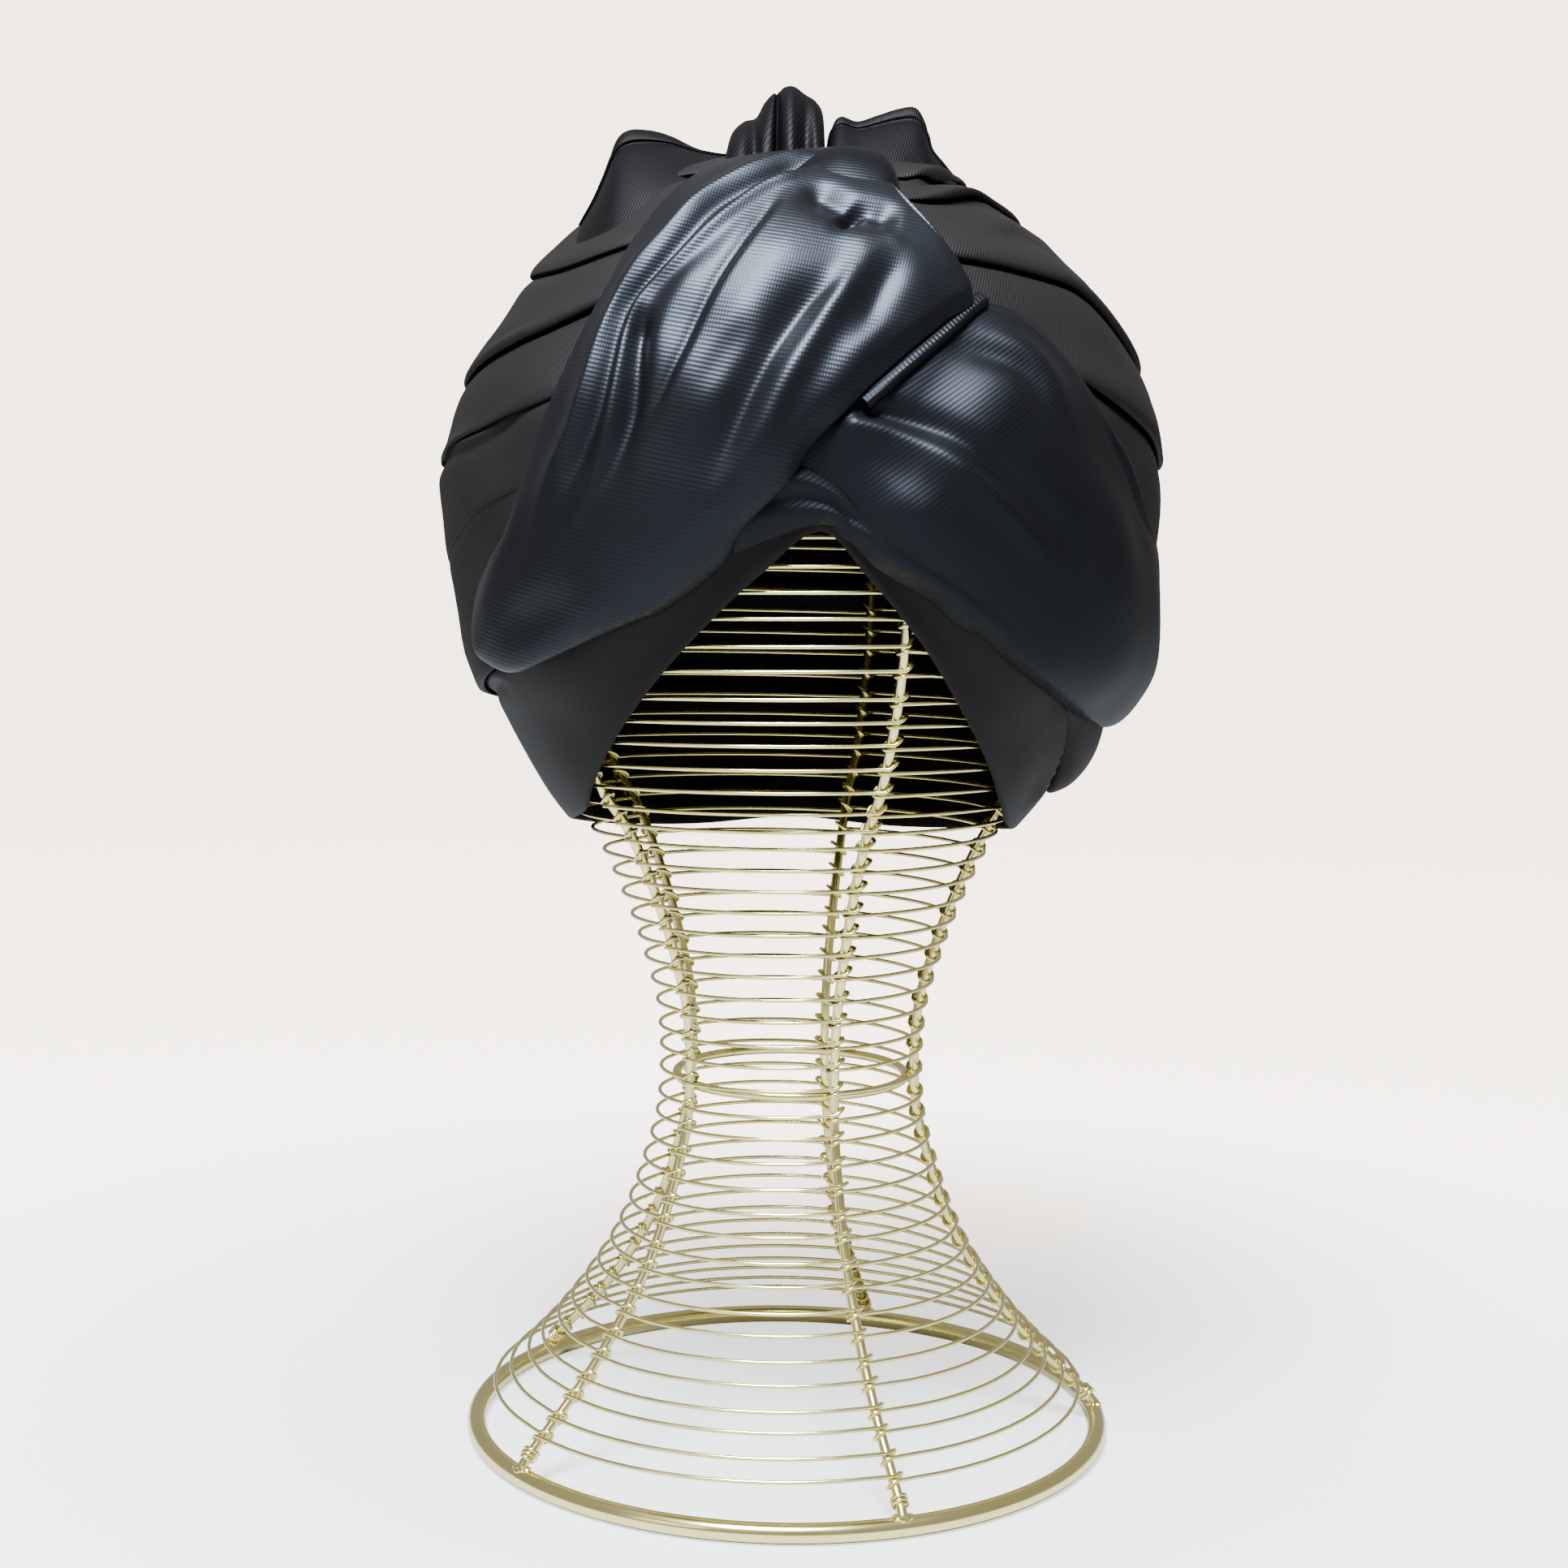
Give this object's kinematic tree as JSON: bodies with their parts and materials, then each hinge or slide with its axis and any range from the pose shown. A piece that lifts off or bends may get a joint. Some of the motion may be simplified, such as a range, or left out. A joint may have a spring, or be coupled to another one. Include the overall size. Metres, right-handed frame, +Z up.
{
  "type": "turban headwrap on a wire hat stand",
  "caption": "Pleated satin turban with two crossing sash lobes, a knot and crown tufts, on an open waisted stand of gold wire.",
  "frame": {"origin": "centre of the base ring, on the surface that it stands on", "axes": "+Z up along the stand, -Y towards the front where the lobes cross, +X to the viewer's right from the front"},
  "size_m": [0.2161, 0.2165, 0.4097],
  "materials": {
    "gold_wire": "polished pale gold plated wire",
    "black_satin": "black satin twill with a blue-grey sheen"
  },
  "bodies": {
    "root": {"stand_foot": "gold_wire", "stand_neck": "gold_wire", "stand_shoulder": "gold_wire", "stand_head": "gold_wire", "stand_crown": "gold_wire", "cap": "black_satin", "left_lobe": "black_satin", "right_lobe": "black_satin", "knot_roll": "black_satin", "folded_hem": "black_satin", "side_fold": "black_satin", "tuft_left": "black_satin", "tuft_middle": "black_satin", "tuft_right": "black_satin"}
  },
  "joints": []
}
